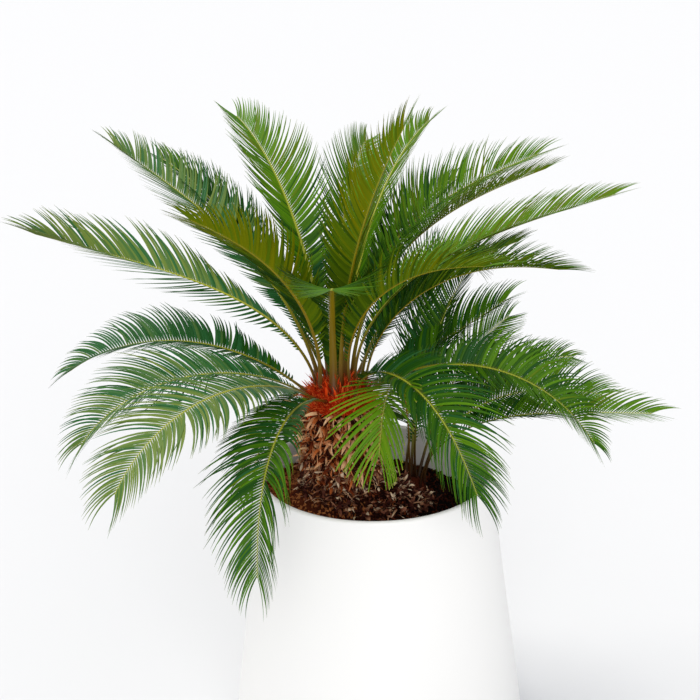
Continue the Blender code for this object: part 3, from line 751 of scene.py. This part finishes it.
# Composted bark, dark on the right, a painted shade, and paler on the left, a painted light
soilStuff = dryMaterial("barkChips", ((0.0, "#0a0403"), (0.45, "#2a0f08"), (0.88, "#6c3018"),
                                      (1.0, "#a0643a")), 0.9, 2.6)
flatProfile = profileCurve("flatProfile", ((0.10, 0.0), (-0.12, 1.0), (-0.02, 0.0), (-0.12, -1.0)))
hairProfile = profileCurve("hairProfile", ((0.9, 0.0), (-0.5, 0.8), (-0.5, -0.8)))

goldenAngle = 2.39996  # spreads leaf feet round a stem as the plant does

curlForm = {
    "steps": 6,
    "foot": 0.6,  # width at the foot against halfWidth
    "more": 1.3,  # what is added on the way
    "less": 0.5,  # and taken off up to the tip
    "twist": 1.5,  # against the turn
}


def curledStrip(chance, form, spot, along, towards):
    # a dry strip that sets out along one direction, bends towards another and twists
    length, halfWidth, bend, turn, tint = (
        pick(chance, form[name]) for name in ("length", "halfWidth", "bend", "turn", "tone"))
    points = []
    overs = []
    breadths = []
    point = spot.copy()
    side = along.cross(towards).normalized()
    across = side.cross(along).normalized()
    steps = curlForm["steps"]
    for i in range(steps + 1):
        t = i / steps
        angle = bend * t
        direction = (along * math.cos(angle) + across * math.sin(angle) + side * (turn * t)).normalized()
        face = (across * math.cos(angle) - along * math.sin(angle))
        twist = turn * curlForm["twist"] * t
        points.append(point.copy())
        overs.append(face * math.cos(twist) + side * math.sin(twist))
        breadths.append(halfWidth * (curlForm["foot"] + curlForm["more"] * t * (1.0 - t)
                                     - curlForm["less"] * t ** 3))
        point += direction * (length / steps)
    return strand(points, overs, breadths, tint)


witheredForm = {
    "frond": "frond_left_drooping",
    "part": (0.44, 0.62),  # of its rib
    "count": 9,
    "below": Vector((0.0, -0.012, -0.004)),
    "aside": (-0.8, 0.5),
    "forwards": -0.9,
    "down": -1.0,
    "length": (0.07, 0.10),
    "halfWidth": 0.0014,
    "bend": (1.0, 3.4),
    "turn": (-1.4, 1.4),
    "tone": 0.5,
}


def witheredStrands():
    # a few dead leaflets, shrunk to curled strings, that still hang from one frond
    chance = random.Random(61)
    rib = next(rib for rib in ribs if rib["name"] == witheredForm["frond"])
    strands = []
    for i in range(witheredForm["count"]):
        share = (i + 0.5) / witheredForm["count"]
        spot = ribPoint(rib, between(*witheredForm["part"], share)) + witheredForm["below"]
        along = Vector((chance.uniform(*witheredForm["aside"]), witheredForm["forwards"],
                        witheredForm["down"]))
        strands.append(curledStrip(chance, witheredForm, spot, along.normalized(), up))
    return strands


finishPiece(growStrands("withered_leaflets", witheredStrands(), leafletProfile, leafLower, leafLower))

stemForm = {
    "foot": Vector((-0.058, 0.021, 0.515)),
    "top": Vector((-0.071, 0.0, 0.745)),
    "radius": 0.060,
    "belly": 0.014,
    "bellyHigh": 1.3,  # over 1 puts the belly above the middle
    "rings": 60,
    "sides": 120,
    "lumps": 60.0,  # of about 17 mm
    "relief": 0.006,
    # nearly black, a painted shade in the gaps between the strips
    "tone": 0.02,
}
stripForm = {  # the torn feet of old leaves; pairs go from low on the stem to the crown
    "count": 1700,
    "sunk": 0.003,
    "angleOff": 0.1,
    "out": 0.8,
    "rises": (-1.4, 0.7),
    "riseOff": 0.8,
    "aside": 1.1,
    "length": (0.018, 0.054),
    "lengthScales": (0.7, 1.0),
    "halfWidth": (0.0014, 0.0048),
    "bend": (0.3, 4.2),
    "turn": (-1.3, 1.3),
    # lighter towards the crown, partly a painted highlight
    "tones": (0.08, 0.56),
    "toneRise": 0.8,
    "toneOff": 0.44,
}
fibreForm = {  # and loose fibres between them
    "count": 420,
    "rise": 1.0,
    "aside": 1.5,
    "length": (0.02, 0.045),
    "halfWidth": 0.0005,
    "bend": (-2.0, 5.0),
    "turn": (-1.5, 1.5),
    "tone": (0.3, 0.95),
}


def stemRadius(height):
    return stemForm["radius"] + stemForm["belly"] * math.sin(math.pi * height ** stemForm["bellyHigh"])


def stemCentre(height):
    return stemForm["foot"].lerp(stemForm["top"], height)


def stemSurface():
    rings = stemForm["rings"]
    sides = stemForm["sides"]
    points = []
    for k in range(rings + 1):
        for i in range(sides):
            out = ringOut(2 * math.pi * i / sides)
            spot = stemCentre(k / rings) + out * stemRadius(k / rings)
            rough = lumps(spot, stemForm["lumps"], 4) * stemForm["relief"]
            points.append(spot + out * rough)
    faces = [tuple(range(sides))[::-1], tuple(range(rings * sides, (rings + 1) * sides))]
    faces += ringFaces(rings + 1, sides)
    return tintedSurface("stem_core", points, faces, stemForm["tone"], scaleStuff)


def stemStrips():
    # upright and orange under the crown, hanging and dark lower down, the lighter top partly a painted
    # highlight
    chance = random.Random(11)
    form = stripForm
    strands = []
    for i in range(form["count"]):
        height = 1.0 - (i + 0.5) / form["count"]
        out = ringOut(i * goldenAngle + offBy(chance, form["angleOff"]))
        spot = stemCentre(height) + out * (stemRadius(height) - form["sunk"])
        rise = between(*form["rises"], height) + offBy(chance, form["riseOff"])
        along = (out * form["out"] + up * rise + out.cross(up) * offBy(chance, form["aside"])).normalized()
        length = chance.uniform(*form["length"]) * between(*form["lengthScales"], height)
        tone = between(*form["tones"], height ** form["toneRise"]) + offBy(chance, form["toneOff"])
        strands.append(curledStrip(chance, {**form, "length": length, "tone": tone}, spot, along, -up))
    for i in range(fibreForm["count"]):
        height = chance.random()
        out = ringOut(chance.uniform(0, 2 * math.pi))
        spot = stemCentre(height) + out * stemRadius(height)
        along = (out + up * offBy(chance, fibreForm["rise"])
                 + out.cross(up) * offBy(chance, fibreForm["aside"])).normalized()
        strands.append(curledStrip(chance, fibreForm, spot, along, -up))
    return strands


finishPiece(stemSurface(), ["stem"])
finishPiece(growStrands("stem_strips", stemStrips(), flatProfile, scaleStuff, scaleStuff), ["stem"])

domeForm = {
    "rings": 24,
    "sides": 64,
    "lumps": 90.0,  # of about 11 mm
}
hairForm = {
    "count": 3200,
    "sunk": 0.002,
    "loose": 0.7,  # how far they stray from straight out, in these directions
    "directions": ((-1, 1), (-1, 1), (-0.4, 1)),
    "length": (0.008, 0.022),
    "halfWidth": 0.0005,
    "bend": (-1.2, 1.2),
    "turn": (-1.0, 1.0),
    "tone": (0.0, 1.0),
}
bractForm = {
    "count": 260,
    "sunk": 0.004,
    "tilts": (-0.25, 1.2),
    "rises": (0.5, 1.2),
    "outs": (0.3, 1.0),
    "length": (0.016, 0.042),
    "halfWidth": (0.0012, 0.003),
    "bend": (-0.3, 1.0),
    "turn": (-0.4, 0.4),
    "tone": (0.0, 0.75),
}


def domePoint(dome, angle, tilt):
    foot, radius, height = dome
    out = Vector((math.cos(angle) * math.cos(tilt), math.sin(angle) * math.cos(tilt), math.sin(tilt)))
    return foot + Vector((out.x * radius, out.y * radius, out.z * height)), out


def domeSurface(name, dome, material, swell, tint):
    rings = domeForm["rings"]
    sides = domeForm["sides"]
    points = []
    for k in range(rings):
        for i in range(sides):
            spot, out = domePoint(dome, 2 * math.pi * i / sides, 0.5 * math.pi * k / rings)
            points.append(spot + out * (swell * lumps(spot, domeForm["lumps"], 3)))
    points.append(domePoint(dome, 0.0, 0.5 * math.pi)[0])
    last = (rings - 1) * sides
    faces = [tuple(range(sides))[::-1]] + ringFaces(rings, sides)
    faces += [(last + i, last + (i + 1) % sides, len(points) - 1) for i in range(sides)]
    return tintedSurface(name, points, faces, tint, material)


def woolHairs():
    chance = random.Random(23)
    strands = []
    for i in range(hairForm["count"]):
        spot, out = domePoint(crown["dome"], chance.uniform(0, 2 * math.pi), math.asin(chance.random()))
        loose = Vector([chance.uniform(*reach) for reach in hairForm["directions"]])
        along = (out + loose * hairForm["loose"]).normalized()
        strands.append(curledStrip(chance, hairForm, spot - out * hairForm["sunk"], along, up))
    return strands


def crownBracts():
    # narrow pointed scales that stand between the petioles, and hang from the edge of the crown
    chance = random.Random(31)
    strands = []
    for i in range(bractForm["count"]):
        tilt = chance.uniform(*bractForm["tilts"])
        spot, out = domePoint(crown["dome"], i * goldenAngle, tilt)
        along = up * between(*bractForm["rises"], tilt) + out * chance.uniform(*bractForm["outs"])
        strands.append(curledStrip(chance, bractForm, spot - out * bractForm["sunk"], along.normalized(),
                                   -up))
    return strands


woolDome = domeSurface("crown_dome", crown["dome"], woolStuff, swell=0.004, tint=0.35)
finishPiece(woolDome, ["crown_core"])
finishPiece(growStrands("crown_hairs", woolHairs(), hairProfile, woolStuff, woolStuff))
finishPiece(growStrands("crown_bracts", crownBracts(), flatProfile, woolStuff, woolStuff))
shootBase = domeSurface("shoot_base", shoot["dome"], scaleStuff, swell=0.003, tint=0.1)
finishPiece(shootBase, ["shoot_stem"])

soilForm = {
    "level": 0.526,
    "slope": -0.13,  # it lies higher on the left
    "radius": 0.2283,
    "mound": 0.075,
    "moundCentre": Vector((-0.030, -0.010, 0.0)),
    "moundSpread": (0.125, 0.090),
    "lumps": 45.0,  # of about 22 mm
    "roughness": 0.004,
    "rings": 70,
    "sides": 180,
    "tone": 0.25,
}
crumbForm = {
    "density": 34000.0,  # a square metre
    "smallest": 0.0012,
    "largest": 0.0036,
    "uneven": (0.65, 1.15),
    "stretch": Vector((1.7, 0.8, 0.5)),
    "seed": 3,
}


def soilHeight(x, y):
    across = (x - soilForm["moundCentre"].x) / soilForm["moundSpread"][0]
    deep = (y - soilForm["moundCentre"].y) / soilForm["moundSpread"][1]
    rough = lumps(Vector((x, y, 0.0)), soilForm["lumps"], 4) * soilForm["roughness"]
    return (soilForm["level"] + soilForm["slope"] * x + rough
            + soilForm["mound"] * math.exp(-across * across - deep * deep))


def soilSurface():
    rings = soilForm["rings"]
    sides = soilForm["sides"]
    points = [(0.0, 0.0, soilHeight(0.0, 0.0))]
    for k in range(1, rings + 1):
        reach = soilForm["radius"] * k / rings
        for i in range(sides):
            angle = 2 * math.pi * i / sides
            x = reach * math.cos(angle)
            y = reach * math.sin(angle)
            points.append((x, y, soilHeight(x, y)))
    faces = [(0, 1 + i, 1 + (i + 1) % sides) for i in range(sides)]
    faces += ringFaces(rings, sides, 1, True)
    return tintedSurface("soil_bed", points, faces, soilForm["tone"], soilStuff)


def crumbShape():
    chance = random.Random(5)
    item = addObject("crumbShape", bpy.data.meshes.new("crumbShape"))
    shape = bmesh.new()
    bmesh.ops.create_icosphere(shape, subdivisions=1, radius=1.0)
    for vertex in shape.verts:
        vertex.co *= chance.uniform(*crumbForm["uneven"])
        vertex.co *= crumbForm["stretch"]
    shape.to_mesh(item.data)
    shape.free()
    return item


def makeCrumbTree():
    tree, given = startTree("scatterCrumbs", (
        ("Crumb", "NodeSocketObject"), ("Density", "NodeSocketFloat"), ("Smallest", "NodeSocketFloat"),
        ("Largest", "NodeSocketFloat"), ("Seed", "NodeSocketInt"), ("Material", "NodeSocketMaterial")))
    spots = addNode(tree, "GeometryNodeDistributePointsOnFaces",
                    {"Mesh": given.outputs["Geometry"], "Density": given.outputs["Density"],
                     "Seed": given.outputs["Seed"]})
    crumb = addNode(tree, "GeometryNodeObjectInfo", {"Object": given.outputs["Crumb"]})
    wholeTurn = (6.283, 6.283, 6.283)
    turn = addNode(tree, "FunctionNodeRandomValue",
                   {1: wholeTurn, "Seed": given.outputs["Seed"]}, data_type="FLOAT_VECTOR")
    size = addNode(tree, "FunctionNodeRandomValue",
                   {2: given.outputs["Smallest"], 3: given.outputs["Largest"],
                    "Seed": given.outputs["Seed"]}, data_type="FLOAT")
    tone = addNode(tree, "FunctionNodeRandomValue", {"Seed": given.outputs["Seed"]}, data_type="FLOAT")
    laid = addNode(tree, "GeometryNodeInstanceOnPoints",
                   {"Points": spots.outputs["Points"], "Instance": crumb.outputs["Geometry"],
                    "Rotation": turn.outputs["Value"], "Scale": size.outputs[1]})
    toned = addNode(tree, "GeometryNodeStoreNamedAttribute",
                    {"Geometry": laid.outputs["Instances"], "Name": "tint", "Value": tone.outputs[1]},
                    data_type="FLOAT", domain="INSTANCE")
    real = addNode(tree, "GeometryNodeRealizeInstances", {"Geometry": toned.outputs["Geometry"]})
    dressed = addNode(tree, "GeometryNodeSetMaterial", {"Geometry": real.outputs["Geometry"],
                                                        "Material": given.outputs["Material"]})
    addNode(tree, "NodeGroupOutput", {"Geometry": dressed.outputs["Geometry"]})
    return tree


def scatterCrumbs(ground):
    item = addObject("soilSpots", ground.data.copy())
    modifier = item.modifiers.new("Crumbs", "NODES")
    modifier.node_group = makeCrumbTree()
    shape = crumbShape()
    for name, value in (("Crumb", shape), ("Density", crumbForm["density"]),
                        ("Smallest", crumbForm["smallest"]), ("Largest", crumbForm["largest"]),
                        ("Seed", crumbForm["seed"]), ("Material", soilStuff)):
        setInput(modifier, name, value)
    piece = toPlainMesh(item, "soil_crumbs")
    bpy.data.objects.remove(shape, do_unlink=True)
    return piece


litterForm = {
    "count": 2200,
    "onStem": 4,  # one in four is caught on the stem
    "centre": (-0.020, -0.005),
    "reach": (0.135, 0.115),
    "lifts": (-0.003, 0.008),
    "rises": (-0.1, 1.1),
    "stemHeights": (0.15, 0.55),
    "stemGap": 0.006,
    "stemTurn": 1.4,
    "stemRises": (-1.0, 0.6),
    "chips": 0.55,  # share of broad chips
    "palest": 0.98,  # tone of the palest
    "skew": 1.5,  # over 1 makes most of it dark
}
shredForm = {
    "length": (0.012, 0.030),
    "halfWidth": (0.0012, 0.0034),
    "bend": (-0.8, 2.0),
    "turn": (-0.9, 0.9),
    "tone": (0.0, 1.0),
}
chipForm = {**shredForm, "length": (0.008, 0.018), "halfWidth": (0.0030, 0.0062)}


def litterStrands():
    # broken dry scales and pale chips heaped round the foot of the stem and caught on it
    chance = random.Random(47)
    form = litterForm
    strands = []
    for i in range(form["count"]):
        angle = chance.uniform(0, 2 * math.pi)
        if i % form["onStem"]:
            reach = math.sqrt(chance.random())
            x = form["centre"][0] + math.cos(angle) * reach * form["reach"][0]
            y = form["centre"][1] + math.sin(angle) * reach * form["reach"][1]
            spot = Vector((x, y, soilHeight(x, y) + chance.uniform(*form["lifts"])))
            along = ringOut(chance.uniform(0, 2 * math.pi)) + up * chance.uniform(*form["rises"])
        else:
            height = chance.uniform(*form["stemHeights"])
            spot = stemCentre(height) + ringOut(angle) * (stemRadius(height) + form["stemGap"])
            along = (ringOut(angle + offBy(chance, form["stemTurn"]))
                     + up * chance.uniform(*form["stemRises"]))
        kind = chipForm if chance.random() < form["chips"] else shredForm
        strip = curledStrip(chance, kind, spot, along.normalized(), -up)
        strip["tint"] = strip["tint"] ** form["skew"] * form["palest"]
        strands.append(strip)
    return strands


soilBed = soilSurface()
finishPiece(scatterCrumbs(soilBed), ["soil"], 60.0)
finishPiece(soilBed, ["soil"])
finishPiece(growStrands("stem_litter", litterStrands(), flatProfile, litterStuff, litterStuff))

potForm = {
    "height": 0.600,
    "rim": 0.2355,  # outer radius at the top
    "belly": 0.300,  # at the widest place
    "bellyHeight": 0.050,
    "foot": 0.286,  # and at the floor
    "neck": 1.3,  # these two bend the wall from rim to belly
    "flare": 1.15,
    "wall": 0.012,
    "edge": 0.010,  # radius of the foot's edge
    "inside": 0.47,  # the inner wall goes down to here, under the soil
    "innerSteps": 12,
    "lipSteps": 12,
    "outerSteps": 60,
    "edgeSteps": 6,
    "sides": 180,
    "colour": "#eeeeee",
    "roughness": 0.4,
    "peel": 350.0,  # dimples of about 3 mm
    "peelHeight": 0.0004,
    "peelStrength": 0.05,
}


def potRadius(height):
    if height >= potForm["bellyHeight"]:
        down = (potForm["height"] - height) / (potForm["height"] - potForm["bellyHeight"])
        share = 1.0 - (1.0 - down ** potForm["neck"]) ** potForm["flare"]
        return between(potForm["rim"], potForm["belly"], share)
    below = 1.0 - height / potForm["bellyHeight"]
    return potForm["belly"] - (potForm["belly"] - potForm["foot"]) * below * below


def potProfile():
    # from the middle of the inside, up the inner wall, over the lip, down outside and to the middle
    lip = potForm["wall"] / 2
    lipHeight = potForm["height"] - lip
    edge = potForm["edge"]
    profile = [(0.0, potForm["inside"])]
    for i in range(potForm["innerSteps"] + 1):
        z = between(potForm["inside"], lipHeight, i / potForm["innerSteps"])
        profile.append((potRadius(z) - potForm["wall"], z))
    for i in range(1, potForm["lipSteps"]):
        angle = math.pi * (1.0 - i / potForm["lipSteps"])
        profile.append((potRadius(lipHeight) - lip + lip * math.cos(angle),
                        lipHeight + lip * math.sin(angle)))
    for i in range(potForm["outerSteps"] + 1):
        z = between(lipHeight, edge, i / potForm["outerSteps"])
        profile.append((potRadius(z), z))
    for i in range(1, potForm["edgeSteps"] + 1):
        angle = 0.5 * math.pi * i / potForm["edgeSteps"]
        profile.append((potRadius(edge) - edge + edge * math.cos(angle), edge * (1.0 - math.sin(angle))))
    return profile + [(0.0, 0.0)]


def resinMaterial():
    # painted resin: smooth and satin, with a faint orange peel
    material, tree, shader = startMaterial("satinPaintedResin")
    place = addNode(tree, "ShaderNodeTexCoord")
    peel = addNode(tree, "ShaderNodeTexNoise", {"Vector": place.outputs["Object"],
                                                "Scale": potForm["peel"]})
    bump = addNode(tree, "ShaderNodeBump", {"Height": peel.outputs["Fac"],
                                            "Strength": potForm["peelStrength"],
                                            "Distance": potForm["peelHeight"]})
    tree.links.new(bump.outputs["Normal"], shader.inputs["Normal"])
    shader.inputs["Base Color"].default_value = toLinear(potForm["colour"])
    shader.inputs["Roughness"].default_value = potForm["roughness"]
    return material


def potPiece():
    profile = potProfile()
    mesh = bpy.data.meshes.new("planter")
    mesh.from_pydata([(r, 0.0, z) for r, z in profile],
                     [(i, i + 1) for i in range(len(profile) - 1)], [])
    item = addObject("planterProfile", mesh)
    screw = item.modifiers.new("Turn", "SCREW")
    screw.steps = potForm["sides"]
    screw.render_steps = potForm["sides"]
    screw.use_merge_vertices = True
    screw.merge_threshold = 0.00005
    piece = toPlainMesh(item, "planter")
    piece.data.materials.clear()
    piece.data.materials.append(resinMaterial())
    return piece


finishPiece(potPiece(), ["pot"])
for helper in (leafletProfile, ribProfile, flatProfile, hairProfile):
    bpy.data.objects.remove(helper, do_unlink=True)


# Stage, light and camera

stageForm = {
    "floorSize": 60.0,
    "floorColour": "#d9dbe0",
    "floorRoughness": 0.9,
    "floorGloss": 0.1,
    "sky": "#ffffff",
    "skyStrength": 0.73,
    # name, direction it shines from, degrees that the soft window spans, strength, colour
    "windows": (("skylight", (-0.40, 0.35, 1.0), 34.0, 1.8, "#fffaf0"),
                ("frontWindow", (0.10, -1.0, 0.5), 45.0, 1.30, "#fffdf8")),
    "camera": (-0.0457, -2.7255, 1.8536),
    "pitch": 69.898,
    "roll": -1.226,
    "lens": 76.83,
    "sensor": 36.0,
}


def softWindow(name, source, spread, strength, hexColour):
    light = bpy.data.lights.new(name, "SUN")
    light.angle = math.radians(spread)
    light.energy = strength
    light.color = toLinear(hexColour)[:3]
    item = addObject(name, light)
    item.rotation_euler = Vector(source).to_track_quat("Z", "Y").to_euler()


def buildStage():
    half = stageForm["floorSize"] / 2
    mesh = bpy.data.meshes.new("studioFloor")
    mesh.from_pydata([(-half, -half, 0), (half, -half, 0), (half, half, 0), (-half, half, 0)], [],
                     [(0, 1, 2, 3)])
    material, tree, shader = startMaterial("mattWhitePaint")  # so matt that it mirrors nothing
    shader.inputs["Base Color"].default_value = toLinear(stageForm["floorColour"])
    shader.inputs["Roughness"].default_value = stageForm["floorRoughness"]
    shader.inputs["Specular IOR Level"].default_value = stageForm["floorGloss"]
    mesh.materials.append(material)
    addObject("studioFloor", mesh)
    world = bpy.data.worlds.new("studio")
    world.use_nodes = True
    world.node_tree.nodes["Background"].inputs["Color"].default_value = toLinear(stageForm["sky"])
    world.node_tree.nodes["Background"].inputs["Strength"].default_value = stageForm["skyStrength"]
    bpy.context.scene.world = world
    for window in stageForm["windows"]:
        softWindow(*window)
    camera = addObject("camera", bpy.data.cameras.new("camera"))
    camera.location = stageForm["camera"]
    pitch = Matrix.Rotation(math.radians(stageForm["pitch"]), 3, "X")
    roll = Matrix.Rotation(math.radians(stageForm["roll"]), 3, "Z")
    camera.rotation_euler = (pitch @ roll).to_euler()
    camera.data.lens = stageForm["lens"]
    camera.data.sensor_width = stageForm["sensor"]
    bpy.context.scene.camera = camera
    bpy.context.scene.view_settings.view_transform = "Standard"


buildStage()
print("stage ready")
